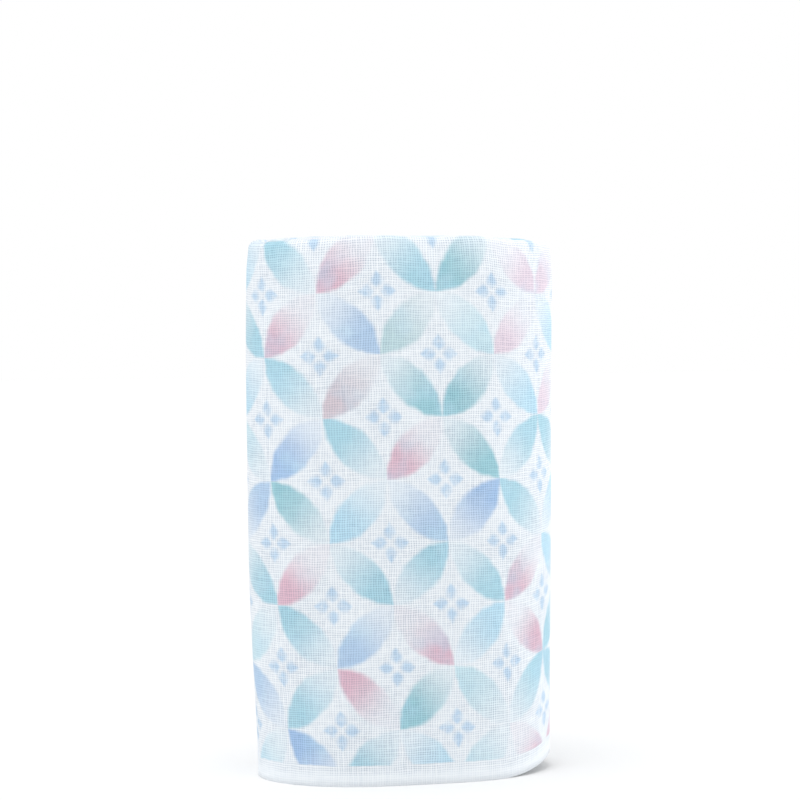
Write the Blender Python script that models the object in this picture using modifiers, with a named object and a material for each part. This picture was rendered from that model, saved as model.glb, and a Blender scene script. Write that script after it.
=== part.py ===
"""A tenugui towel: one cloth of open, two-ply gauze, folded once across its width and rolled up.

The roll is a flattened oval that stands on its end. Its rounded fold is at the top and the cloth's two
woven edges are at the bottom, so each turn is the doubled cloth: an outer layer and an inner layer joined
at the fold. Metres, +Z up. The origin is in the middle of the roll's footprint, on the surface it stands
on, the long axis of the oval is X and the roll's broad front faces -Y.
"""

import math

import bmesh
import bpy
from mathutils import Vector

# Driving dimensions, metres.
CLOTH_WIDTH = 0.340        # woven edge to woven edge, laid flat
ROLL_WIDTH = 0.100         # long axis of the oval, over the outside of the cloth
ROLL_DEPTH = 0.060         # short axis of the oval
LAYER = 0.0017             # thickness of the gauze
LAYER_GAP = 0.0005         # air between the two layers of a turn
FACE_BULGE = 0.0042        # how far the slack outermost turn bellies out on the broad faces
DRAW_IN = 0.0043           # how far the left side draws in at the foot
FOLD_DIP = 0.0023          # how far the fold dips where the turns go round the ends of the oval
FOOT_LIFT = 0.0045         # how far the foot of the outermost turn lifts at the right end
END_TUCK = 0.0013          # how far the loose end lies in, against the turn under it

# Shape of the winding and of how it has settled.
FULL_TURNS = 5             # whole turns, besides the last run along the core
END_STRETCH = 1.55         # how long a rounded end is, for each unit of its half depth
TUCK_TURNS = 0.2           # the tuck of the loose end fades out over this part of a turn
AT_FOOT = 6                # the higher, the nearer to the foot the drawing in stays
AT_LEFT = 3                # the higher, the nearer to the left end it stays
LIFT_START = 0.5           # how far out to the right the foot lies level, as a share of the half width
LEAST_LIFT = 0.0002        # cloth that would hover lower than this lies on the surface
AT_OUTSIDE = 4             # the higher, the nearer to the outermost turn the lift stays

# How finely the cloth is divided.
ARC_STEPS = 16             # steps round one end of the oval
FACE_STEPS = 4             # steps along one broad face
FOLD_STEPS = 4             # steps round the fold at the top
HEIGHT_STEPS = 3           # steps down each layer
SLOPE_STEP = 0.01          # share of a step on either side that gives the cloth's direction

DYED_GAUZE = (0.86, 0.92, 0.95, 1.0)
GAUZE_ROUGHNESS = 0.95

# Worked out from those. The winding starts on the back, and ends at the far end of the core.
FOLDED_HEIGHT = CLOTH_WIDTH / 2
BAND = 2 * LAYER + LAYER_GAP                               # thickness of the doubled cloth
FOLD_RADIUS = (LAYER + LAYER_GAP) / 2                      # bend of the fold, at the middle of the layer
HALF_TURN = ARC_STEPS + FACE_STEPS
STEPS_A_TURN = 2 * HALF_TURN
STATIONS = FULL_TURNS * STEPS_A_TURN + FACE_STEPS
TURNS = STATIONS / STEPS_A_TURN
CORE_TURN = 0.25                                           # lets the last run lie along the middle
FACE_TURN = 0.41                                           # how far in the mean of back and front lies
END_TURN = 0.55                                            # how far in the mean of the two ends lies
FACE_DEPTH = ROLL_DEPTH / 2 - FACE_BULGE - BAND / 2
PITCH = FACE_DEPTH / (TURNS + CORE_TURN - FACE_TURN)       # from one turn to the next
CORE_DEPTH = PITCH * CORE_TURN                             # half depth where the winding ends
END_REACH = (ROLL_WIDTH - BAND) / 2 + PITCH * END_TURN     # half length where the loose end starts


def empty_scene():
    for thing in list(bpy.data.objects):
        bpy.data.objects.remove(thing, do_unlink=True)


def new_collection(name):
    collection = bpy.data.collections.new(name)
    bpy.context.scene.collection.children.link(collection)
    return collection


def fabric_material(name, colour, roughness):
    material = bpy.data.materials.new(name)
    material.use_nodes = True
    shader = material.node_tree.nodes["Principled BSDF"]
    shader.inputs["Base Color"].default_value = colour
    shader.inputs["Roughness"].default_value = roughness
    shader.inputs["Metallic"].default_value = 0.0
    return material


def oval(step, reach, depth):
    """A point of an oval of that half length and half depth, seen from above.

    The winding goes along the back to the right end, round it, along the front to the left end and round
    that one, each half turn the other one's mirror image in the origin.
    """
    end = END_STRETCH * depth
    face_half = reach - end
    side = 1 if step % STEPS_A_TURN < HALF_TURN else -1
    along = step % HALF_TURN
    if along <= FACE_STEPS:
        x = face_half * (2 * along / FACE_STEPS - 1)
        y = depth
    else:
        turned = math.pi * (along - FACE_STEPS) / ARC_STEPS
        x = face_half + end * math.sin(turned)
        y = depth * math.cos(turned)
    return Vector((side * x, side * y, 0))


def band_middle(step):
    """The middle of the doubled cloth at a station: one pitch further in each turn, the loose end tucked
    against the turn under it, and the outer turns slack on the broad faces."""
    turns_in = step / STEPS_A_TURN
    tuck = END_TUCK * max(0.0, 1 - turns_in / TUCK_TURNS) ** 2
    reach = END_REACH - PITCH * turns_in
    point = oval(step, reach, CORE_DEPTH + PITCH * (TURNS - turns_in) - tuck)
    slack = (1 - turns_in / TURNS) * max(0.0, 1 - (point.x / reach) ** 2)
    point.y += math.copysign(FACE_BULGE * slack, point.y)
    return point


def outward(step):
    """The direction out of the roll at a station, level and square to the cloth."""
    along = (band_middle(step + SLOPE_STEP) - band_middle(step - SLOPE_STEP)).normalized()
    return Vector((-along.y, along.x, 0))


def hairpin(column):
    """Across the cloth: how far out of the band's middle, and how high, each column of the grid lies.

    The columns run up the outer layer, over the fold and down the inner layer.
    """
    straight = FOLDED_HEIGHT - FOLD_RADIUS - LAYER / 2
    over_fold = HEIGHT_STEPS + FOLD_STEPS
    if column <= HEIGHT_STEPS:
        return FOLD_RADIUS, straight * column / HEIGHT_STEPS
    if column >= over_fold:
        return -FOLD_RADIUS, straight * (over_fold + HEIGHT_STEPS - column) / HEIGHT_STEPS
    bend = math.pi * (column - HEIGHT_STEPS) / FOLD_STEPS
    return FOLD_RADIUS * math.cos(bend), straight + FOLD_RADIUS * math.sin(bend)


def straight_roll(name, material):
    """The cloth as a flat grid, length by width, folded, wound and given the gauze's thickness."""
    columns = 2 * HEIGHT_STEPS + FOLD_STEPS
    bm = bmesh.new()
    bmesh.ops.create_grid(bm, x_segments=STATIONS, y_segments=columns, size=0.5)
    for vert in bm.verts:
        step = round((vert.co.x + 0.5) * STATIONS)
        offset, height = hairpin(round((vert.co.y + 0.5) * columns))
        vert.co = band_middle(step) + outward(step) * offset
        vert.co.z = height
    bmesh.ops.recalc_face_normals(bm, faces=bm.faces)
    mesh = bpy.data.meshes.new(name)
    bm.to_mesh(mesh)
    bm.free()
    mesh.materials.append(material)
    roll = bpy.data.objects.new(name, mesh)
    thickness = roll.modifiers.new("thickness", "SOLIDIFY")
    thickness.thickness = LAYER
    thickness.offset = 0
    thickness.use_even_offset = True
    return roll


def applied(thing, collection):
    """The object with its modifiers made part of its mesh, in the collection."""
    collection.objects.link(thing)
    bpy.context.view_layer.update()
    seen = thing.evaluated_get(bpy.context.evaluated_depsgraph_get())
    mesh = bpy.data.meshes.new_from_object(seen)
    thing.modifiers.clear()
    thing.data = mesh
    return thing


def smooth_rise(share, power):
    """From 0 to 1, slow at first and level again at the end."""
    return share ** power * (power + 1 - power * share)


def settle(roll):
    """The uneven set of the standing roll: the left side draws in at the foot, the fold dips at the ends,
    and the outermost turn's foot lifts at the right end. Then the footprint is centred on the origin."""
    points = [vert.co for vert in roll.data.vertices]
    for point in points:
        across = point.x / (ROLL_WIDTH / 2)
        out = min(1.0, across ** 2 + (point.y / (ROLL_DEPTH / 2)) ** 2)
        up = point.z / FOLDED_HEIGHT
        left, lifted = max(0.0, -across), max(0.0, across - LIFT_START) / (1 - LIFT_START)
        point.x += DRAW_IN * left ** AT_LEFT * smooth_rise(1 - up, AT_FOOT)
        point.z -= FOLD_DIP * across ** 2 * out * up
        lift = FOOT_LIFT * lifted ** 2 * out ** AT_OUTSIDE
        if lift > LEAST_LIFT:
            point.z += lift * (1 - up)
    for axis in range(2):
        low = min(point[axis] for point in points)
        high = max(point[axis] for point in points)
        for point in points:
            point[axis] -= (low + high) / 2
    roll.data.update()
    roll.data.shade_smooth()


empty_scene()
towel = new_collection("tenugui_towel")
gauze = fabric_material("dyed_gauze", DYED_GAUZE, GAUZE_ROUGHNESS)
rolled_towel = applied(straight_roll("rolled_towel", gauze), towel)
settle(rolled_towel)
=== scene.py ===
# %% [markdown]
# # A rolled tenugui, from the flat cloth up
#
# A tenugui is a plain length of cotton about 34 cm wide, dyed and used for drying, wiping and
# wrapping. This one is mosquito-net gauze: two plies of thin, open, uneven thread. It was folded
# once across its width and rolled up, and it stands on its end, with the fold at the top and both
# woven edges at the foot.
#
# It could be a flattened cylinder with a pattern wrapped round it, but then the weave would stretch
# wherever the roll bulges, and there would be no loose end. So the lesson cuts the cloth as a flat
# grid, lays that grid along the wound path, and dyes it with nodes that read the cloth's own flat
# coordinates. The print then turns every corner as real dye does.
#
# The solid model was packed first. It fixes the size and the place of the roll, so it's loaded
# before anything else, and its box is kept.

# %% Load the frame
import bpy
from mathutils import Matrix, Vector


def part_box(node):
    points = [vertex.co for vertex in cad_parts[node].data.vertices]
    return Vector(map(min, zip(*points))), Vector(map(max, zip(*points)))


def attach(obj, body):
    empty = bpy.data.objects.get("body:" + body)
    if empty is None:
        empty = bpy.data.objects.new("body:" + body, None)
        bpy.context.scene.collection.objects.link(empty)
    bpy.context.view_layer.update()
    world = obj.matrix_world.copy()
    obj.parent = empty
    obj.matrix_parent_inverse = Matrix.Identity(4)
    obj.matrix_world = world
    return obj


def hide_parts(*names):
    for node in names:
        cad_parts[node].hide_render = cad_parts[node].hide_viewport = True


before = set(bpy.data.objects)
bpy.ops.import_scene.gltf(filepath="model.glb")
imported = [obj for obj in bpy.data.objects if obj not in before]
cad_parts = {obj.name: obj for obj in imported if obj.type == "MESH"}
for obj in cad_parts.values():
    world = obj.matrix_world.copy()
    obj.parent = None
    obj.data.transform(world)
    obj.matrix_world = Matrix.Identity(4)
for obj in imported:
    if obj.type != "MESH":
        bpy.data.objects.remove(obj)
print("the frame has", len(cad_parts), "solid node")

# %% Tools used below
import math

import bmesh
import bpy
import numpy as np
from mathutils import Matrix, Vector, noise

MM = 0.001
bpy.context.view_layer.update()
roll_low, roll_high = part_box("rolled_towel")
roll_size = roll_high - roll_low
print("the solid roll is", [round(side / MM, 1) for side in roll_size], "mm")

# %% [markdown]
# ## The camera
#
# The picture looks at the broad front from the left of square, level with the top of the roll and
# about a metre away. A long lens at that distance makes the sides nearly parallel, but it still
# shows the foot curving down more than the top does. A camera can be dragged into place by hand,
# but an angle, a distance and a height are easier to read and to correct. The lens follows from how
# much cloth fills the picture.

# %% Set up the camera
CAMERA_TURN = math.radians(18.0)  # to the left of square
CAMERA_DISTANCE = 0.992
CAMERA_HEIGHT = 0.165
AIM = Vector((0.0002, 0.0, 0.1181))
SEEN_ACROSS = 0.2465              # metres that the picture spans, at the front of the roll
SENSOR = 36.0                     # mm
NEAREST_SEEN = 0.01


def add_camera():
    """A camera at that turn, distance and height, which looks at the aim."""
    camera = bpy.data.objects.new("camera", bpy.data.cameras.new("camera"))
    bpy.context.scene.collection.objects.link(camera)
    back = Vector((-math.sin(CAMERA_TURN), -math.cos(CAMERA_TURN), 0)) * CAMERA_DISTANCE
    camera.location = Vector((AIM.x, AIM.y, CAMERA_HEIGHT)) + back
    gaze = AIM - camera.location
    camera.rotation_euler = gaze.to_track_quat("-Z", "Y").to_euler()
    camera.data.sensor_width = SENSOR
    camera.data.lens = SENSOR * (gaze.length - roll_size.y / 2) / SEEN_ACROSS
    camera.data.clip_start = NEAREST_SEEN
    bpy.context.scene.camera = camera
    return camera


camera = add_camera()
print("lens", round(camera.data.lens, 1), "mm")

# %% [markdown]
# ## The wound path
#
# Seen from above, every turn is a flattened oval: two nearly straight runs joined by half ellipses.
# The turns get smaller by one pitch each, and the outer ones belly out a little on the broad faces,
# where nothing holds them flat. A curve could be drawn for this by hand, but its turns would have
# to be kept apart one by one. A formula keeps the same pitch between all of them, and gives the
# middle of the doubled cloth for any number of turns from the loose end.

# %% Measures of the winding
LAYER = 1.7 * MM                  # room that one layer of the gauze takes up in the roll
LAYER_GAP = 0.5 * MM
FACE_BULGE = 4.2 * MM
TURNS = 5.1                       # from the loose end to the far end of the core
CORE_TURN = 0.25                  # lets the last run lie along the middle
FACE_TURN = 0.41                  # how far in the mean of back and front lies
END_TURN = 0.55                   # how far in the mean of the two ends lies

BAND = 2 * LAYER + LAYER_GAP      # thickness of the doubled cloth
PITCH = (roll_size.y / 2 - FACE_BULGE - BAND / 2) / (TURNS + CORE_TURN - FACE_TURN)
END_REACH = (roll_size.x - BAND) / 2 + PITCH * END_TURN
print("a turn lies every", round(PITCH / MM, 2), "mm")

# %% The middle of the doubled cloth
FACE_SHARE = 0.2                  # share of a half turn that runs along a broad face
END_STRETCH = 1.55                # length of a rounded end, for each unit of its half depth
END_TUCK = 1.3 * MM               # how far the loose end lies in, against the turn under it
TUCK_TURNS = 0.2


def oval(turn, reach, depth):
    """A point on an oval of that half length and depth, along the back to the right end first."""
    end = END_STRETCH * depth
    half = 2 * (turn % 1.0)
    side = 1 if half < 1 else -1
    half %= 1.0
    if half <= FACE_SHARE:
        return Vector((side * (reach - end) * (2 * half / FACE_SHARE - 1), side * depth, 0))
    turned = math.pi * (half - FACE_SHARE) / (1 - FACE_SHARE)
    x, y = reach - end + end * math.sin(turned), depth * math.cos(turned)
    return Vector((side * x, side * y, 0))


def band_middle(turn):
    """The middle of the doubled cloth, a number of turns in from the loose end."""
    tuck = END_TUCK * max(0.0, 1 - turn / TUCK_TURNS) ** 2
    reach = END_REACH - PITCH * turn
    point = oval(turn, reach, PITCH * (CORE_TURN + TURNS - turn) - tuck)
    slack = (1 - turn / TURNS) * max(0.0, 1 - (point.x / reach) ** 2)
    point.y += math.copysign(FACE_BULGE * slack, point.y)
    return point


print("the loose end lies", round(-band_middle(0).x / MM, 1), "mm left of the middle of the back")

# %% Which way is out of the roll
FRONT_TURN = 0.55                 # where the outermost turn crosses the middle of the front
SLOPE_STEP = 0.0004               # turns on either side, which give the cloth's direction


def outward(turn):
    """Level, square to the cloth and away from the core."""
    along = (band_middle(turn + SLOPE_STEP) - band_middle(turn - SLOPE_STEP)).normalized()
    return Vector((-along.y, along.x, 0))


print("the way out of the front is", [round(part, 2) for part in outward(FRONT_TURN)])

# %% [markdown]
# Cloth hardly stretches, so the layer on the outside of each turn sets how long the cloth is, and
# the layer inside it has a little to spare. Such a path has no simple formula for its length, so
# short steps along it are added up. The table of those sums turns "so far along the cloth" into "so
# many turns", which is how the flat grid finds its place.

# %% Lengths along the outer layer
CLOTH = 0.9 * MM                  # thickness of two plies of gauze
HALF_GAP = (BAND - CLOTH) / 2     # from the middle of the doubled cloth to the middle of a layer
TABLE_STEPS = 6000

turn_table = np.linspace(0, TURNS, TABLE_STEPS + 1)
outer_path = np.array([band_middle(turn) + outward(turn) * HALF_GAP for turn in turn_table])
steps = np.linalg.norm(np.diff(outer_path, axis=0), axis=1)
length_table = np.concatenate(([0.0], np.cumsum(steps)))
CLOTH_LENGTH = length_table[-1]
FRONT_AT = np.interp(FRONT_TURN, turn_table, length_table)
print("the wound cloth is", round(CLOTH_LENGTH, 3), "m long")

# %% [markdown]
# ## The doubled cloth
#
# Cut straight up and down, a turn is a hairpin. The outer layer climbs from its woven edge to the
# fold, goes over it, and comes down again as the inner layer. A fold in springy gauze is never
# sharp, so it puffs out a little, and the turns nearly touch each other along the top. Two sheets
# could be joined up there, but a single one that goes over the fold keeps the print unbroken. The
# list of the hairpin's points has the distance along the cloth at each, which becomes the second
# flat coordinate.

# %% The hairpin
FOLDED_HEIGHT = roll_size.z
FOLD_PUFF = 0.10 * MM
PUFF_HEIGHT = 9 * MM
OUTER_ROWS, FOLD_ROWS, INNER_ROWS = 76, 10, 16
INNER_SPREAD = 1.5                # above 1, the inner layer's rows crowd towards the fold


def smooth(share):
    """From 0 to 1, and level at both ends."""
    share = min(1.0, max(0.0, share))
    return share * share * (3 - 2 * share)


def hairpin():
    """Points (offset outwards, height) from the outer woven edge over the fold to the inner one."""
    fold_radius = HALF_GAP + FOLD_PUFF
    straight = FOLDED_HEIGHT - fold_radius - CLOTH / 2
    climb = [straight * row / OUTER_ROWS for row in range(OUTER_ROWS)]
    descend = [straight * (1 - (row / INNER_ROWS) ** INNER_SPREAD)
               for row in range(1, INNER_ROWS + 1)]

    def gap(height):
        return HALF_GAP + FOLD_PUFF * smooth(1 - (straight - height) / PUFF_HEIGHT)

    points = [(gap(height), height) for height in climb]
    for row in range(FOLD_ROWS + 1):
        bend = math.pi * row / FOLD_ROWS
        points.append((fold_radius * math.cos(bend), straight + fold_radius * math.sin(bend)))
    points += [(-gap(height), height) for height in descend]
    return points


profile = np.array(hairpin())
down_cloth = np.concatenate(([0.0], np.cumsum(np.linalg.norm(np.diff(profile, axis=0), axis=1))))
CLOTH_WIDTH = down_cloth[-1]
print("the cloth is", round(CLOTH_WIDTH, 4), "m wide between its woven edges")

# %% [markdown]
# ## Soft creases
#
# Handling has left a few shallow troughs across the broad faces. They could be sculpted, but they
# would be lost each time the winding changes. Here each is a line of a short table: where its
# middle is, how it slants, and how long, wide and deep it is. The depth fades towards the core, so
# the turns under a trough move with it.

# %% The creases
CREASES = (
    # face, across mm, height mm, slant, half length mm, half width mm, depth mm
    (-1, -31, 52, 0.30, 46, 7, 0.75),
    (-1, 24, 118, -0.22, 40, 9, 0.60),
    (-1, 36, 44, -0.35, 34, 6, 0.80),
    (-1, -6, 140, 0.90, 26, 8, 0.45),
    (1, -24, 96, -0.15, 60, 6, 0.70),
    (1, 28, 66, 0.40, 44, 8, 0.80),
)


def crease_depth(point):
    """How far the creases push the outermost turn in at this place of its broad face."""
    depth = 0.0
    for face, across, height, slant, half_length, half_width, deep in CREASES:
        if face * point.y <= 0:
            continue
        along_crease = point.z / MM - height
        beside = (point.x / MM - across - slant * along_crease) / half_width
        fade = 1 - (along_crease / half_length) ** 2
        if fade > 0:
            depth += deep * MM * fade * math.exp(-beside ** 2)
    return depth


print(len(CREASES), "creases, the deepest", max(crease[-1] for crease in CREASES), "mm")

# %% [markdown]
# ## How the roll has settled
#
# A real roll isn't a perfect stack. The left side draws in at the foot, the fold dips where it goes
# round the ends and leans in a little all round, and the corner at the right end lifts off the
# table. A cloth simulation makes such moves too, but it can't be told where to stop. These moves
# depend only on where a point is, so neighbouring turns move together and never cut through each
# other.

# %% Settle a point
DRAW_IN = 4.3 * MM
AT_LEFT, AT_FOOT = 3, 6           # the higher, the nearer to the left end and the foot it stays
FOLD_DIP = 2.3 * MM
FOOT_LIFT = 5.5 * MM
LIFT_START = 0.5                  # share of the half width that stays level at the foot
AT_OUTSIDE = 4                    # the higher, the nearer to the outermost turn the lift stays
END_LEAN, FACE_LEAN = 0.7 * MM, 1.4 * MM
LEAN_HEIGHT = 10 * MM
path_middle = Vector((np.min(outer_path, axis=0) + np.max(outer_path, axis=0)) / 2)


def smooth_rise(share, power):
    """From 0 to 1, slow at first and level again at the end."""
    return share ** power * (power + 1 - power * share)


def settled(point):
    """The place where a point of the straight roll ends up, with the roll centred on the origin."""
    across, inward = point.x / (roll_size.x / 2), point.y / (roll_size.y / 2)
    out = min(1.0, across ** 2 + inward ** 2)
    up = min(1.0, point.z / FOLDED_HEIGHT)
    left, lifted = max(0.0, -across), max(0.0, across - LIFT_START) / (1 - LIFT_START)
    lean = smooth(1 - (FOLDED_HEIGHT - point.z) / LEAN_HEIGHT)
    return Vector((point.x + DRAW_IN * left ** AT_LEFT * smooth_rise(1 - up, AT_FOOT)
                   - END_LEAN * lean * across,
                   point.y - (FACE_LEAN * lean + crease_depth(point)) * inward,
                   point.z - FOLD_DIP * across ** 2 * out * up
                   + FOOT_LIFT * lifted ** 2 * out ** AT_OUTSIDE * (1 - up))) - path_middle


print("the path is moved by", [round(-part / MM, 2) for part in path_middle.xy], "mm to centre it")

# %% [markdown]
# On top of those moves comes a slow unevenness, as hands leave it in any soft roll. A displacement
# texture could give it, but it would push the two layers of a turn apart. A noise function of the
# place moves them together, and each turn's fold and woven edge has its own small rise and fall.

# %% A slow unevenness
WAVE = 0.45 * MM
WAVE_LENGTH = 34 * MM
WAVE_UPRIGHT = 0.6                # below 1, the waves are longer up and down the roll
FOLD_WAVE = 0.55 * MM
FOOT_WAVE = 1.2 * MM
EDGE_WAVE_LENGTH = 16 * MM
RISING_FROM = 0.9                 # turns in, from which a woven edge may rise off the table
NEAR_EDGE = 4                     # the higher, the nearer to the fold or the edge its waves stay


def wave(point):
    """How far the slow unevenness pushes the cloth outwards here."""
    return WAVE * noise.noise(Vector((point.x, point.y, point.z * WAVE_UPRIGHT)) / WAVE_LENGTH)


def edge_waves(point, turn):
    """How far this turn's fold stands above or below the others, and its edge off the table."""
    place = Vector((point.x, point.y, turn * EDGE_WAVE_LENGTH)) / EDGE_WAVE_LENGTH
    bumpy = noise.noise(place)
    up = min(1.0, point.z / FOLDED_HEIGHT)
    rising = smooth(turn - RISING_FROM)
    return (FOLD_WAVE * bumpy * up ** NEAR_EDGE
            + FOOT_WAVE * max(0.0, bumpy) * rising * (1 - up) ** NEAR_EDGE)


print("the cloth waves by", round(WAVE / MM, 2), "mm, its fold by", round(FOLD_WAVE / MM, 2), "mm")

# %% [markdown]
# ## Lay the grid along the path
#
# One grid is the whole cloth. Its columns stand close together on the outermost turn, which shows,
# and wider inside. Bend modifiers could roll it, but they make round rolls and no hairpins, so each
# vertex is moved to its place on the path. The loose end isn't cut quite straight, so it drifts a
# little.

# %% The columns of the grid
SHOWN_TURNS = 1.1
SHOWN_COLUMNS = 160
HIDDEN_COLUMNS_A_TURN = 48
HEM_WIDTH = 6.5 * MM
HEM_STEP = 0.8 * MM               # how fast the thickness changes at the hem's edge
HEM_COLUMNS = 10

hem_end = HEM_WIDTH + HEM_STEP
shown_length = np.interp(SHOWN_TURNS, turn_table, length_table)
hidden_columns = round((TURNS - SHOWN_TURNS) * HIDDEN_COLUMNS_A_TURN)
hidden_turns = np.linspace(SHOWN_TURNS, TURNS, hidden_columns + 1)
along_cloth = np.concatenate((
    np.linspace(0, hem_end, HEM_COLUMNS, endpoint=False),
    np.linspace(hem_end, shown_length, SHOWN_COLUMNS, endpoint=False),
    np.interp(hidden_turns, turn_table, length_table),
))
print("the grid has", len(along_cloth) - 1, "columns and", len(profile) - 1, "rows")

# %% A place of the flat cloth, once it is wound
DRIFT = 1.0 * MM                  # how far the loose end's edge wanders
DRIFT_WAVE = 30 * MM              # how long its waves are, down the cloth
DRIFT_LENGTH = 25 * MM            # the drift fades out over this length of the cloth
BETWEEN = 0.5                     # noise is 0 at whole numbers, so it's read between them


def wound(along, down, lift=0.0):
    """Where a place of the flat cloth ends up. What lies on the cloth is lifted outwards."""
    wander = noise.noise(Vector((BETWEEN, BETWEEN, down / DRIFT_WAVE)))
    drift = DRIFT * wander * max(0.0, 1 - along / DRIFT_LENGTH)
    turn = np.interp(along + drift, length_table, turn_table)
    offset, height = (float(np.interp(down, down_cloth, profile[:, side])) for side in range(2))
    place = band_middle(turn)
    place.z = height
    place += outward(turn) * (offset + lift + wave(place))
    place.z += edge_waves(place, turn)
    return settled(place)


print("the loose end stands at", [round(part / MM, 1) for part in wound(0.0, 0.0)], "mm")

# %% [markdown]
# The flat place that each vertex came from is kept in a UV map that is measured in metres. The roll
# could be unwrapped afterwards, but the weave and the print couldn't be measured on that map. A
# second map spreads the part that shows over most of an image, for the export. A vertex group marks
# the two hems, where the cut ends are turned under.

# %% Hems, and a place in the export's image
BAKE_SHOWN = 0.70, 0.85           # share of the image for what shows, along and down the cloth
BAKE_DOWN = 0.19                  # metres of the cloth that show, down from the outer woven edge


def hem_weight(along):
    """1 in the hem at either cut end, and 0 in the plain cloth between them."""
    from_end = min(along, CLOTH_LENGTH - along)
    return smooth((hem_end - from_end) / HEM_STEP)


def bake_place(along, down):
    """Where a place of the cloth lies in the export's image."""
    marks = (0, shown_length, CLOTH_LENGTH), (0, BAKE_DOWN, CLOTH_WIDTH)
    return [np.interp(value, mark, (0, share, 1))
            for value, mark, share in zip((along, down), marks, BAKE_SHOWN)]


print("the part that shows is", round(shown_length, 3), "by", BAKE_DOWN, "m of the cloth")

# %% Wind the cloth
def wind_cloth():
    """The sheet's mesh: a grid, wound and settled, with its flat coordinates in metres."""
    columns, rows = len(along_cloth) - 1, len(profile) - 1
    sheet = bmesh.new()
    bmesh.ops.create_grid(sheet, x_segments=columns, y_segments=rows, size=0.5)
    weights = sheet.verts.layers.deform.new()
    flat = {}
    for vertex in sheet.verts:
        column, row = round((vertex.co.x + 0.5) * columns), round((vertex.co.y + 0.5) * rows)
        flat[vertex] = along_cloth[column], down_cloth[row]
        vertex[weights][0] = hem_weight(along_cloth[column])
        vertex.co = wound(*flat[vertex])
    cloth_uv, bake_uv = (sheet.loops.layers.uv.new(name) for name in ("cloth", "OFBake"))
    for face in sheet.faces:
        face.smooth = True
        for loop in face.loops:
            loop[cloth_uv].uv = flat[loop.vert]
            loop[bake_uv].uv = bake_place(*flat[loop.vert])
    mesh = bpy.data.meshes.new("rolled_cloth")
    sheet.to_mesh(mesh)
    sheet.free()
    return mesh


cloth = bpy.data.objects.new("rolled_cloth", wind_cloth())
bpy.context.scene.collection.objects.link(cloth)
print("the sheet has", len(cloth.data.polygons), "faces before it gets its thickness")

# %% [markdown]
# The sheet's thickness could be extruded, but Solidify keeps it easy to change. It's as thick as
# two plies of gauze, and thicker in the hems, where the vertex group says so.

# %% Give the sheet its thickness
HEM = 1.6 * MM

cloth.vertex_groups.new(name="hem")
thickness = cloth.modifiers.new("thickness", "SOLIDIFY")
thickness.thickness = HEM
thickness.offset = 0
thickness.vertex_group = "hem"
thickness.thickness_vertex_group = CLOTH / HEM
print("it's", round(CLOTH / MM, 1), "mm thick, and", round(HEM / MM, 1), "mm in the hems")

# %% [markdown]
# ## The hem's stitches
#
# The loose end shows on the back, with its hem and a line of lockstitch. A dashed line could be
# painted there, but real stitches stand out at the edge of the hem and catch the light. One stitch
# is a small ball, drawn out along the seam and half sunk in the cloth. It is repeated, so it has
# only a few faces.

# %% Sew the hem
SEAM_AT = 5.2 * MM                # from the cut end
STITCH_SPACING = 2.6 * MM
STITCH_HALF = Vector((0.30, 0.28, 1.0)) * MM
STITCH_SIDES, STITCH_RINGS = 6, 4
SEAM_FROM, SEAM_TO = 2.0 * MM, FOLDED_HEIGHT - 3.0 * MM


def sewn(along, down):
    """A place on the outside of the hem."""
    return wound(along, down, HEM / 2)


def sew_hem():
    """The mesh of the stitches, each turned to lie along the seam."""
    sewing = bmesh.new()
    for number in range(round((SEAM_TO - SEAM_FROM) / STITCH_SPACING)):
        down = SEAM_FROM + (number + 0.5) * STITCH_SPACING
        seam = (sewn(SEAM_AT, down + MM) - sewn(SEAM_AT, down - MM)).normalized()
        beside = (sewn(SEAM_AT + MM, down) - sewn(SEAM_AT - MM, down)).normalized()
        turn = Matrix((beside, seam.cross(beside), seam)).transposed().to_4x4()
        stretch = Matrix.Diagonal((*STITCH_HALF, 1))
        place = Matrix.Translation(sewn(SEAM_AT, down)) @ turn @ stretch
        bmesh.ops.create_uvsphere(sewing, u_segments=STITCH_SIDES, v_segments=STITCH_RINGS,
                                  radius=1, matrix=place)
    for face in sewing.faces:
        face.smooth = True
    bmesh.ops.recalc_face_normals(sewing, faces=sewing.faces)
    mesh = bpy.data.meshes.new("hem_stitching")
    sewing.to_mesh(mesh)
    sewing.free()
    return mesh


stitches = bpy.data.objects.new("hem_stitching", sew_hem())
bpy.context.scene.collection.objects.link(stitches)
print("the seam has", len(stitches.data.polygons), "faces")

# %% [markdown]
# ## Writing formulas with nodes
#
# A print like this one is all formulas: circles, distances and soft edges. Wiring Math nodes one by
# one hides the idea, so a small class stands for "a number at every point of the cloth". Adding or
# multiplying two of them adds the node that does it, and the formulas below then read like
# arithmetic. Every one of them starts from the flat cloth's coordinates, which the UV map holds.

# %% Start the gauze's material
gauze = bpy.data.materials.new("dyed_gauze")
gauze.use_nodes = True
gauze_nodes, gauze_links = gauze.node_tree.nodes, gauze.node_tree.links
gauze_nodes.clear()
flat_place = gauze_nodes.new("ShaderNodeUVMap")
flat_place.uv_map = "cloth"
print("the gauze reads the UV map", flat_place.uv_map)

# %% A number at every point of the cloth
class Field:
    """What comes out of a node's socket: a number, or a colour, at every point of the cloth."""

    def __init__(self, socket):
        self.socket = socket

    def __add__(self, other):
        return worked_out("ADD", self, other)

    def __sub__(self, other):
        return worked_out("SUBTRACT", self, other)

    def __rsub__(self, other):
        return worked_out("SUBTRACT", other, self)

    def __mul__(self, other):
        return worked_out("MULTIPLY", self, other)

    def __truediv__(self, other):
        return worked_out("DIVIDE", self, other)

    __radd__, __rmul__ = __add__, __mul__


def connect(source, socket):
    """Feeds a socket with a field, or sets it to a plain number or colour."""
    if isinstance(source, Field):
        gauze_links.new(source.socket, socket)
    else:
        socket.default_value = source


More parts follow.
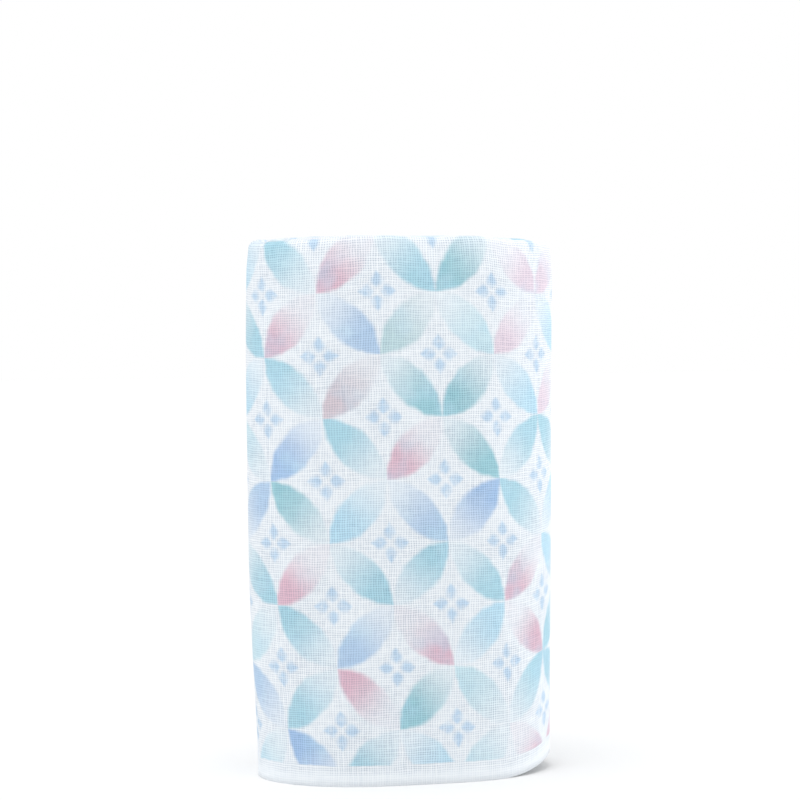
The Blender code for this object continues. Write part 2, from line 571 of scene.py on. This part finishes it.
def worked_out(operation, *sources):
    """The field that a Math node makes of these fields and numbers."""
    node = gauze_nodes.new("ShaderNodeMath")
    node.operation = operation
    for source, socket in zip(sources, node.inputs):
        connect(source, socket)
    return Field(node.outputs[0])


apart = gauze_nodes.new("ShaderNodeSeparateXYZ")
gauze_links.new(flat_place.outputs[0], apart.inputs[0])
along, down = Field(apart.outputs[0]), Field(apart.outputs[1])
print("along and down come from", len(gauze_nodes), "nodes")

# %% [markdown]
# ## The printer's grid
#
# The pattern is shippo, linked circles, an old Japanese repeat. Its points stand on a square grid
# of 19 mm: every second one has a small flower, and at the others four petals meet. The cloth was
# folded and rolled a little askew, so the columns lean as they go down. A drawing of the repeat
# could be wrapped round the roll, but formulas stay sharp close up, and each measure of them can be
# corrected on its own. Two fields give the column and the row of any place on the cloth, and their
# whole parts name the square that it is in.

# %% Columns and rows
PRINT_ACROSS = 18.75 * MM
PRINT_UP = 19.39 * MM
FIRST_COLUMN = 53.78 * MM         # how far column 0 lies left of the front's middle, at the fold
FIRST_ROW = -1.85 * MM            # height of row 0 in column 0
COLUMN_LEAN = 0.0538
ROW_RISE = -0.0025

column_start = FRONT_AT + FIRST_COLUMN - COLUMN_LEAN * FOLDED_HEIGHT
column = (column_start - along + down * COLUMN_LEAN) / PRINT_ACROSS
row = (down - FIRST_ROW) / PRINT_UP - column * ROW_RISE
square_column, square_row = worked_out("FLOOR", column), worked_out("FLOOR", row)
across, up = column - square_column, row - square_row
print("column 0 is printed", round(column_start, 3), "m along the outer woven edge")

# %% [markdown]
# In one square the petal runs from its bottom right to its top left corner, and in the next one it
# runs the other way. Both could be drawn and chosen between. Turning every second square round, as
# in a mirror, leaves one case to draw: flowers at the bottom left and top right corners, and the
# petal between the other two.

# %% Turn every second square round
def blend(share, first, second):
    """The first field where share is 0 and the second where it is 1."""
    return first + (second - first) * share


turned_round = worked_out("FLOORED_MODULO", square_column + square_row, 2.0)
across = blend(turned_round, across, 1.0 - across)
print("a square of the print is", round(PRINT_ACROSS / MM, 1), "by", round(PRINT_UP / MM, 1), "mm")

# %% [markdown]
# ## The petals
#
# A petal is the place that two circles share, each with its middle on a flower. The circles are a
# little larger than the squares, so the petals run into each other where four of them meet. A hard
# threshold would look cut out with a knife, so the petal has a soft edge that wobbles, as a brush
# leaves it. Two more helpers give a soft threshold and a soft, cloudy noise.

# %% Soft thresholds and clouds
def soft_step(low, high, field):
    """0 below low, 1 above high, and smooth between, or the other way round if low is higher."""
    node = gauze_nodes.new("ShaderNodeMapRange")
    node.interpolation_type = "SMOOTHSTEP"
    falling = low > high
    settings = field, min(low, high), max(low, high), int(falling), int(not falling)
    for source, socket in zip(settings, node.inputs):
        connect(source, socket)
    return Field(node.outputs[0])


def cloudy(along, down, size, detail=2.0):
    """Soft blotches of about that size, from 0 to 1, by the cloth's flat coordinates.

    Whole metres added to a coordinate read another part of the same noise.
    """
    where = gauze_nodes.new("ShaderNodeCombineXYZ")
    connect(along / size, where.inputs[0])
    connect(down / size, where.inputs[1])
    node = gauze_nodes.new("ShaderNodeTexNoise")
    node.noise_dimensions = "2D"
    node.inputs["Scale"].default_value = 1.0
    node.inputs["Detail"].default_value = detail
    gauze_links.new(where.outputs[0], node.inputs["Vector"])
    return Field(node.outputs["Fac"])


WOBBLE_SIZE = 5 * MM
BRUSH_WOBBLE = 0.08

wobble = (cloudy(along, down, WOBBLE_SIZE) - 0.5) * BRUSH_WOBBLE
print("the brush wobbles by", round(BRUSH_WOBBLE * PRINT_ACROSS / 2 / MM, 2), "mm either way")

# %% The petal's shape
PETAL_REACH = 1.046
SOFT_EDGE = 0.048


def distance(x, y):
    """How far a place is from the origin of x and y."""
    return worked_out("SQRT", x * x + y * y)


far_flower = worked_out("MAXIMUM", distance(across, up), distance(1.0 - across, 1.0 - up)) + wobble
petal = soft_step(PETAL_REACH, PETAL_REACH - 2 * SOFT_EDGE, far_flower)
petal_width = 2 * (PETAL_REACH - math.sqrt(0.5)) * PRINT_ACROSS
print("a petal is", round(petal_width / MM, 1), "mm across its middle")

# %% [markdown]
# ## The colours of the petals
#
# The repeat is eight squares wide and nine high. Each petal could have a material of its own, but a
# printer would keep a chart, which is shorter to read and to correct. It is read as the cloth
# hangs: its top line is the row under the fold. A letter names the dye, a capital when the dye is
# strong at the petal's upper end and a small letter when it is strong at the lower end.

# %% The chart
DYES = {
    "t": (0.50, 0.76, 0.84),      # teal
    "d": (0.40, 0.68, 0.73),      # deep teal
    "p": (0.70, 0.88, 0.92),      # pale teal
    "s": (0.60, 0.84, 0.95),      # sky
    "b": (0.56, 0.71, 0.89),      # blue
    "n": (0.46, 0.63, 0.87),      # deep blue
    "r": (0.87, 0.56, 0.64),      # rose
    "k": (0.95, 0.77, 0.83),      # pink
    "m": (0.79, 0.66, 0.69),      # mauve
    "g": (0.63, 0.79, 0.80),      # sage
}
CHART = (
    "sTrtdkkt",
    "trbgpkst",
    "sTmddskb",
    "PnTrdTTr",
    "BDsbNTSs",
    "trtTtrSR",
    "pTbrSrts",
    "BtRdPTTt",
    "pNtsprrb",
)
LETTERS_BEFORE = 1.0              # a line's first letter is the column before column 0
REPEAT_SHIFT = 3                  # columns that the repeat moves by where it starts again, higher
print("the chart has", len(CHART) * len(CHART[0]), "petals in", len(DYES), "dyes")

# %% [markdown]
# The chart could be read from a small image, but that would have to be kept beside the lesson. So
# a Color Ramp with constant steps holds one line of it, with the strong end in its alpha. The
# column's number is a place on the ramp, and the row's number picks the ramp, with a Mix node for
# each line.

# %% Read the chart
def tinted(share, first, second, way="MIX"):
    """Mixes two colours, or the colours of two sockets, by a field."""
    node = gauze_nodes.new("ShaderNodeMix")
    node.data_type = "RGBA"
    node.blend_type = way
    sockets = [socket for socket in node.inputs if socket.type == "RGBA"]
    connect(share, node.inputs[0])
    connect(first, sockets[0])
    connect(second, sockets[1])
    return Field(next(socket for socket in node.outputs if socket.type == "RGBA"))


def line_ramp(letters):
    """A Color Ramp with one step for each letter of the chart's line."""
    ramp = gauze_nodes.new("ShaderNodeValToRGB")
    ramp.color_ramp.interpolation = "CONSTANT"
    stops = ramp.color_ramp.elements
    while len(stops) < len(letters):
        stops.new(0.5)
    for step, letter in enumerate(letters):
        stops[step].position = step / len(letters)
        stops[step].color = (*DYES[letter.lower()], float(letter.isupper()))
    return ramp


def charted():
    """The dye of each square, and 1 where it is strong at the upper end of its petal."""
    width, height = len(CHART[0]), len(CHART)
    repeat = worked_out("FLOOR", square_row / height)
    letter_at = square_column + LETTERS_BEFORE + repeat * REPEAT_SHIFT
    place = worked_out("FLOORED_MODULO", letter_at, float(width))
    line = worked_out("FLOORED_MODULO", square_row, float(height))
    colour = upper = None
    for number, letters in enumerate(reversed(CHART)):
        ramp = line_ramp(letters)
        connect((place + 0.5) / width, ramp.inputs[0])
        here = worked_out("COMPARE", line, float(number), 0.5)
        row_colour, row_upper = Field(ramp.outputs[0]), Field(ramp.outputs[1])
        colour = row_colour if colour is None else tinted(here, colour, row_colour)
        upper = row_upper if upper is None else blend(here, upper, row_upper)
    return colour, upper


dye, upper = charted()
print("the gauze now has", len(gauze_nodes), "nodes")

# %% [markdown]
# The colour is laid on strongly at one end of a petal and wiped out towards the other. A gradient
# painted on each petal would do it. Here the strength falls with the distance from the strong end,
# and sooner in the rose dyes, which wash out faster. Slow blotches make it uneven, and a second
# noise leans each petal a little towards sky blue, because the brush carried more than one dye.

# %% How strongly each place is dyed
FADE_TO = 0.13                    # strength that is left at the weak end
FADE_FROM, FADE_END = 0.30, 1.40  # in sides of a square, from the strong end
ROSE_FADE_END = 1.08
ROSE_FROM, ROSE_AT = 0.74, 0.86   # share of red in a dye, from which it fades as rose does
BLOTCH = 0.30
BLOTCH_SIZE = 8 * MM


def redness(colour):
    """The red part of a field of colours."""
    node = gauze_nodes.new("ShaderNodeSeparateColor")
    connect(colour, node.inputs[0])
    return Field(node.outputs[0])


upper_end = blend(upper, 1.0 - up, up)
from_strong = distance(blend(upper, 1.0 - across, across), 1.0 - upper_end)
rosy = soft_step(ROSE_FROM, ROSE_AT, redness(dye))
slow_fade = soft_step(FADE_FROM, FADE_END, from_strong)
rose_fade = soft_step(FADE_FROM, ROSE_FADE_END, from_strong)
fade = blend(rosy, slow_fade, rose_fade)
strength = 1.0 - fade * (1.0 - FADE_TO)
strength = strength * (1.0 - BLOTCH / 2 + BLOTCH * cloudy(along + 1.0, down, BLOTCH_SIZE))
print("rose is wiped out", round(ROSE_FADE_END * PRINT_ACROSS / MM), "mm from its strong end, and",
      "the other dyes", round(FADE_END * PRINT_ACROSS / MM), "mm")

# %% Lean towards sky blue
SKY = (*DYES["s"], 1.0)
SKY_FROM, SKY_AT = 0.45, 0.75
SKY_SHARE = 0.4
SKY_SIZE = 13 * MM

to_sky = soft_step(SKY_FROM, SKY_AT, cloudy(along + 2.0, down, SKY_SIZE)) * SKY_SHARE
dye = tinted(to_sky, dye, SKY)
print("at most", SKY_SHARE, "of a dye turns to sky blue")

# %% [markdown]
# ## The small flowers
#
# Each flower has four pointed petals round a white middle. They could be drawn one by one. Folding
# the square along its diagonal, so that the larger distance always counts as "outwards", draws all
# four with one formula: a leaf between two arcs, broader at its inner end.

# %% Four petals round each flower
FLOWER_MIDDLE = 0.192             # from the flower's centre to a petal's middle, in squares
FLOWER_HALF = 0.162
FLOWER_WIDE = 0.142
FLOWER_TAPER = 0.45
FLOWER_WOBBLE = 5.0
DIAGONAL_EDGE = 0.001

upper_flower = soft_step(1.0 - DIAGONAL_EDGE, 1.0 + DIAGONAL_EDGE, across + up)
flower_x = worked_out("ABSOLUTE", blend(upper_flower, across, 1.0 - across))
flower_y = worked_out("ABSOLUTE", blend(upper_flower, up, 1.0 - up))
outwards = (worked_out("MAXIMUM", flower_x, flower_y) - FLOWER_MIDDLE) / FLOWER_HALF
sideways = worked_out("MINIMUM", flower_x, flower_y)
beside = sideways * (1.0 + outwards * FLOWER_TAPER) / FLOWER_WIDE
in_flower = 1.0 - outwards * outwards - beside + wobble * FLOWER_WOBBLE
flower_width = 2 * (FLOWER_MIDDLE + FLOWER_HALF) * PRINT_ACROSS
print("a flower is", round(flower_width / MM, 1), "mm across")

# %% Mottle the flowers
FLOWER_SOFT = 0.90
FLOWER_FAINTEST = 0.1
FLOWER_MOTTLE = 1.8
FLOWER_BLOTCH = 2.5 * MM
FLOWER_DYE = (0.66, 0.80, 0.93, 1.0)

flower = soft_step(0.0, FLOWER_SOFT, in_flower)
mottle = FLOWER_FAINTEST + FLOWER_MOTTLE * cloudy(along + 3.0, down, FLOWER_BLOTCH)
flower = flower * mottle
print("the flowers' dye is", FLOWER_DYE[:3])

# %% [markdown]
# ## Where the print stops
#
# The stencil is narrower than the cloth, so a white margin is left along both woven edges, and
# another at the two cut ends, where the hems are. White strips could be laid over the print, but it
# is simpler to multiply the dye by a field that is 0 in the margins.

# %% Leave the margins white
WOVEN_MARGIN = 6.3 * MM
CUT_MARGIN = 9.0 * MM
MARGIN_EDGE = 0.5 * MM
MARGIN_WANDER = 10                # mm, for each unit of the brush's wobble


def clear_of(low, high, field):
    """1 between low and high, and 0 outside them."""
    return soft_step(low, low + MARGIN_EDGE, field) * soft_step(high, high - MARGIN_EDGE, field)


wandering = down + wobble * MARGIN_WANDER * MM
printed = (clear_of(WOVEN_MARGIN, CLOTH_WIDTH - WOVEN_MARGIN, wandering)
           * clear_of(CUT_MARGIN, CLOTH_LENGTH - CUT_MARGIN, along))
petal_strength = petal * strength * printed
flower_strength = flower * printed
print("the print is", round((CLOTH_WIDTH - 2 * WOVEN_MARGIN) / MM), "mm wide")

# %% [markdown]
# ## The weave
#
# Mosquito-net gauze has thirteen or fourteen threads to a centimetre, with a square hole at every
# crossing of two gaps, through which the layer beneath shows in shade as a darker dot. The threads
# could be modelled one by one, but the cloth has some six hundred thousand crossings, so they are
# drawn, with painted shade in the gaps and holes.
# Hand-like unevenness matters more than the threads themselves: the lines wander, thick and thin
# threads alternate, and the holes open and close.

# %% Threads and gaps
WARP_PITCH = 0.715 * MM           # the warp runs along the cloth: its threads lie down the cloth
WEFT_PITCH = 0.79 * MM
WANDER = 0.45                     # of a thread
WANDER_LENGTH = 6 * MM
THREAD_WIDE = 0.36                # share of the pitch that a thread's full thickness covers
THREAD_SOFT = 0.56
UNEVEN = 0.55                     # how much a thread's thickness changes along its length
UNEVEN_LENGTH = 3.5 * MM
THREADS_APART = 3.7               # mm of the noise between one thread and the next
EVERY_SECOND = 0.16               # how much thinner every second thread is


def gaps(position, other, pitch, seed):
    """From 0 on a thread to 1 in the gap beside it, for the threads that lie at each position."""
    lines = position / pitch + (cloudy(position + seed, other, WANDER_LENGTH) - 0.5) * 2 * WANDER
    number = worked_out("FLOOR", lines)
    from_thread = worked_out("ABSOLUTE", worked_out("FRACT", lines) - 0.5) * 2.0
    own_noise = cloudy(number * THREADS_APART * MM + seed, other, UNEVEN_LENGTH, detail=0.0)
    uneven = (own_noise - 0.5) * UNEVEN
    every_second = worked_out("FLOORED_MODULO", number, 2.0) * EVERY_SECOND
    edge = from_thread - uneven + every_second
    return soft_step(THREAD_WIDE, THREAD_WIDE + THREAD_SOFT, edge)


warp_gap = gaps(down, along, WARP_PITCH, 5.0)
weft_gap = gaps(along, down, WEFT_PITCH, 9.0)
print("threads to a centimetre:", round(10 * MM / WARP_PITCH, 1), "of warp,",
      round(10 * MM / WEFT_PITCH, 1), "of weft")

# %% [markdown]
# The thread is spun unevenly too, so a thick stretch of it makes a pale streak, several millimetres
# long. The streaks could be painted in, but a noise that is drawn out along the thread keeps to the
# pitch of the weave.

# %% Thick stretches of thread
STREAK = 0.08                     # width of a streak, as a share of its length

warp_streaks = cloudy(along * STREAK, down, WARP_PITCH, detail=0.0)
weft_streaks = cloudy(along, down * STREAK, WEFT_PITCH, detail=0.0)
streaks = (warp_streaks + weft_streaks) * 0.5
print("a streak of the warp is up to", round(WARP_PITCH / STREAK / MM, 1), "mm long")

# %% [markdown]
# The woven edges are beaten closer, and the doubled cloth of a hem hides its own holes, with
# painted shade along the seam for its groove. They could have materials of their own, but the
# change is gradual, so a few fields close the same weave instead. One more opens and closes it in
# patches, as handling does.

# %% Woven edges, hems and holes
SELVEDGE_FROM, SELVEDGE_AT = 5.5 * MM, 2.5 * MM
SELVEDGE_CLOSED, HEM_CLOSED = 0.7, 0.6
GROOVE_EDGE, GROOVE_FLOOR = 0.9 * MM, 0.2 * MM
LEAST_OPEN = 0.45
OPEN_RANGE = 1.1
OPEN_SIZE = 17 * MM

selvedge = soft_step(SELVEDGE_FROM, SELVEDGE_AT, worked_out("MINIMUM", down, CLOTH_WIDTH - down))
from_end = worked_out("MINIMUM", along, CLOTH_LENGTH - along)
hemmed = soft_step(hem_end, HEM_WIDTH, from_end)
# painted shade along the seam, standing for its groove
seam_groove_shade = soft_step(GROOVE_EDGE, GROOVE_FLOOR, worked_out("ABSOLUTE", from_end - SEAM_AT))
openness = LEAST_OPEN + OPEN_RANGE * cloudy(along + 7.0, down, OPEN_SIZE)
open_weave = openness * (1.0 - selvedge * SELVEDGE_CLOSED) * (1.0 - hemmed * HEM_CLOSED)
# masks for the painted shade in the gaps and holes, which also sink them in the bump
hole = warp_gap * weft_gap * open_weave
line = (warp_gap * 0.5 + weft_gap * 0.5) * open_weave
print("a hole is at most", round(WARP_PITCH * (1 - THREAD_WIDE) / MM, 2), "mm high")

# %% [markdown]
# ## Putting the gauze together
#
# Dye multiplies the white of the thread, then painted shade in the gaps and holes darkens it
# towards a cool grey, and the same fields raise the threads in a bump. Real holes, through a
# transparent shader, would show only more gauze behind them, and take far longer to render. A
# little sheen stands for the fuzz that catches light at the sides.

# %% The gauze's shader
THREAD_WHITE = (0.93, 0.965, 0.99, 1.0)
# painted shade in the gaps between threads and in the holes
SHADE_BETWEEN_THREADS = (0.56, 0.64, 0.74, 1.0)
SHADE_IN_HOLES = (0.28, 0.33, 0.41, 1.0)
WHITE = (1.0, 1.0, 1.0, 1.0)
LINE_SHADE = 0.42
HOLE_SHADE = 0.42
STREAK_SHADE = 0.30
# strength of the painted shade along the seam
GROOVE_SHADE = 0.45
THREAD_HEIGHT = 0.11 * MM
BUMP_STRENGTH = 0.45
GAUZE_FINISH = {
    "Roughness": 0.92,
    "Specular IOR Level": 0.25,
    "Sheen Weight": 0.12,
    "Sheen Roughness": 0.6,
}


def finish_gauze():
    """Wires the print, the weave's painted shade and the bump into the shader."""
    shade = tinted(petal_strength, WHITE, dye)
    shade = tinted(flower_strength, shade, FLOWER_DYE)
    # painted shade in the gaps and along the seam, with the threads' own paler streaks
    shade_and_streaks = line * LINE_SHADE + (1.0 - streaks) * STREAK_SHADE + seam_groove_shade * GROOVE_SHADE
    threads = tinted(shade_and_streaks, THREAD_WHITE, SHADE_BETWEEN_THREADS)
    threads = tinted(hole * HOLE_SHADE, threads, SHADE_IN_HOLES)
    colour = tinted(1.0, threads, shade, "MULTIPLY")
    shader = gauze_nodes.new("ShaderNodeBsdfPrincipled")
    bump = gauze_nodes.new("ShaderNodeBump")
    output = gauze_nodes.new("ShaderNodeOutputMaterial")
    connect(colour, shader.inputs["Base Color"])
    for name, value in GAUZE_FINISH.items():
        shader.inputs[name].default_value = value
    bump.inputs["Distance"].default_value = THREAD_HEIGHT
    bump.inputs["Strength"].default_value = BUMP_STRENGTH
    connect(1.0 - line * 0.5 - hole * 0.5, bump.inputs["Height"])
    gauze_links.new(bump.outputs[0], shader.inputs["Normal"])
    gauze_links.new(shader.outputs[0], output.inputs["Surface"])


finish_gauze()
cloth.data.materials.append(gauze)
print("the gauze has", len(gauze_nodes), "nodes")

# %% [markdown]
# The sewing thread is white cotton too, but tight and smooth beside the gauze. Its twist could be
# modelled as a rope's is, but a stitch is only two millimetres long, so a fine wave along it stands
# for the twist: it paints shade into the twist's grooves and raises it in a bump.

# %% The sewing thread
TWIST_WAVE = 1.0 * MM             # along the upright stitches
PLAIN_WAVE = 0.628                # metres in a diagonal wave of scale 1, along one axis
TWIST_HEIGHT = 0.08 * MM
# painted shade in the grooves of the twist, and the white between them
TWIST_SHADE, TWIST_WHITE = (0.70, 0.76, 0.84, 1.0), (0.92, 0.95, 0.98, 1.0)
THREAD_ROUGHNESS = 0.7


def sewing_thread():
    """White cotton with a fine twist, and painted shade in its grooves."""
    thread = bpy.data.materials.new("sewing_thread")
    thread.use_nodes = True
    nodes, links = thread.node_tree.nodes, thread.node_tree.links
    shader = nodes["Principled BSDF"]
    place, twist = nodes.new("ShaderNodeTexCoord"), nodes.new("ShaderNodeTexWave")
    colour, bump = nodes.new("ShaderNodeValToRGB"), nodes.new("ShaderNodeBump")
    twist.bands_direction = "DIAGONAL"
    twist.inputs["Scale"].default_value = PLAIN_WAVE / TWIST_WAVE
    colour.color_ramp.elements[0].color = TWIST_SHADE
    colour.color_ramp.elements[1].color = TWIST_WHITE
    bump.inputs["Distance"].default_value = TWIST_HEIGHT
    shader.inputs["Roughness"].default_value = THREAD_ROUGHNESS
    links.new(place.outputs["Object"], twist.inputs["Vector"])
    links.new(twist.outputs["Fac"], colour.inputs["Fac"])
    links.new(colour.outputs["Color"], shader.inputs["Base Color"])
    links.new(twist.outputs["Fac"], bump.inputs["Height"])
    links.new(bump.outputs["Normal"], shader.inputs["Normal"])
    return thread


stitches.data.materials.append(sewing_thread())
print("the thread's twist repeats every", round(TWIST_WAVE / MM, 1), "mm")

# %% [markdown]
# ## Floor, world and lights
#
# The towel stands in white light from all round, as in a light tent, on white paper over a light
# table, so the paper glows a little. A glow alone would make it white enough, but nothing can shade
# a glow, and the towel would seem to float. So most of the paper's white comes from a lamp.

# %% The white paper
FLOOR_SIZE = 6.0
FLOOR_DROP = 0.02 * MM            # keeps the paper clear of the woven edges that stand on it
FLOOR_GLOW = 0.10
PAPER_WHITE = (0.86, 0.86, 0.86, 1.0)


def white_floor():
    """A wide sheet of glowing paper, just under the towel."""
    mesh = bpy.data.meshes.new("floor")
    plane = bmesh.new()
    drop = Matrix.Translation((0, 0, -FLOOR_DROP))
    bmesh.ops.create_grid(plane, x_segments=1, y_segments=1, size=FLOOR_SIZE / 2, matrix=drop)
    plane.to_mesh(mesh)
    plane.free()
    floor = bpy.data.objects.new("floor", mesh)
    bpy.context.scene.collection.objects.link(floor)
    paper = bpy.data.materials.new("white_paper")
    paper.use_nodes = True
    shader = paper.node_tree.nodes["Principled BSDF"]
    shader.inputs["Base Color"].default_value = PAPER_WHITE
    shader.inputs["Emission Color"].default_value = WHITE
    shader.inputs["Emission Strength"].default_value = FLOOR_GLOW
    shader.inputs["Roughness"].default_value = 1.0
    shader.inputs["Specular IOR Level"].default_value = 0.0
    mesh.materials.append(paper)
    return floor


floor = white_floor()
print("the paper is", FLOOR_SIZE, "m wide")

# %% [markdown]
# Soft boxes on both sides and above brighten the rounded ends and the fold, which gives the roll
# its form. A stronger world would only flatten it. On the paper they would leave uneven pools of
# light, so each lamp lights chosen pieces alone.

# %% Soft boxes for the towel alone
SOFT_BOXES = (
    # name, place in metres, side in metres, power in watts
    ("left_box", (-1.3, 0.4, 0.4), 0.9, 3.4),
    ("right_box", (1.3, 0.1, 0.4), 0.9, 7.4),
    ("top_box", (-0.05, -0.25, 0.70), 0.4, 1.5),
)


def soft_box(name, place, size, power):
    """A square lamp that faces the middle of the roll, and that the camera can't see."""
    lamp = bpy.data.lights.new(name, "AREA")
    lamp.size, lamp.energy = size, power
    box = bpy.data.objects.new(name, lamp)
    box.location = place
    box.rotation_euler = (AIM - Vector(place)).to_track_quat("-Z", "Y").to_euler()
    box.visible_camera = False
    bpy.context.scene.collection.objects.link(box)
    return box


def lit_alone(lamp, *pieces):
    """Lets a lamp light these pieces alone. The others still cast a shade in its light."""
    group = bpy.data.collections.new("lit_by_" + lamp.name)
    for piece in pieces:
        group.objects.link(piece)
    lamp.light_linking.receiver_collection = group


boxes = [soft_box(*row) for row in SOFT_BOXES]
for box in boxes:
    lit_alone(box, cloth, stitches)
print(len(boxes), "soft boxes light the towel")

# %% [markdown]
# A broad light from overhead, for the paper alone, makes it as white as the world. A small lamp
# would leave a hard shadow. This one leaves a soft shade under the lifted corner, because the towel
# still stands in its way.

# %% An overhead light for the paper alone
OVERHEAD_POWER = 0.98
OVERHEAD_ANGLE = math.radians(30)
OVERHEAD_LEAN = Vector((0.12, 0.10, -1.0))


def overhead_light():
    """A broad, even light from above, a little from the left, so the shade lies to the right."""
    lamp = bpy.data.lights.new("overhead", "SUN")
    lamp.energy, lamp.angle = OVERHEAD_POWER, OVERHEAD_ANGLE
    overhead = bpy.data.objects.new("overhead", lamp)
    overhead.rotation_euler = OVERHEAD_LEAN.to_track_quat("-Z", "Y").to_euler()
    bpy.context.scene.collection.objects.link(overhead)
    return overhead


lit_alone(overhead_light(), floor)
print("the overhead light is", round(math.degrees(OVERHEAD_ANGLE)), "degrees wide")

# %% [markdown]
# The world does most of the work: it lights the cloth softly, and looks pure white to the camera. A
# world bright enough to look white would wash out the dyes, so the two are kept apart. A Light Path
# node picks one strength for the camera and another for everything else.

# %% The light tent
TENT_LIGHT = 0.77
SEEN_WHITE = 1.0


def light_tent():
    """A world that lights softly, and that the camera sees as white."""
    world = bpy.data.worlds.new("light_tent")
    world.use_nodes = True
    nodes, links = world.node_tree.nodes, world.node_tree.links
    lit, seen = nodes["Background"], nodes.new("ShaderNodeBackground")
    ray, either = nodes.new("ShaderNodeLightPath"), nodes.new("ShaderNodeMixShader")
    for background, strength in ((lit, TENT_LIGHT), (seen, SEEN_WHITE)):
        background.inputs["Color"].default_value = WHITE
        background.inputs["Strength"].default_value = strength
    links.new(ray.outputs["Is Camera Ray"], either.inputs[0])
    links.new(lit.outputs[0], either.inputs[1])
    links.new(seen.outputs[0], either.inputs[2])
    links.new(either.outputs[0], nodes["World Output"].inputs["Surface"])
    return world


bpy.context.scene.world = light_tent()
bpy.context.scene.view_settings.view_transform = "Standard"
print("the world lights with", TENT_LIGHT, "and shows", SEEN_WHITE)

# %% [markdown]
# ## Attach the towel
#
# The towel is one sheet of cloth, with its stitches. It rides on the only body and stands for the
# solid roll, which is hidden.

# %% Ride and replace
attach(cloth, "root")
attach(stitches, "root")
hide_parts("rolled_towel")
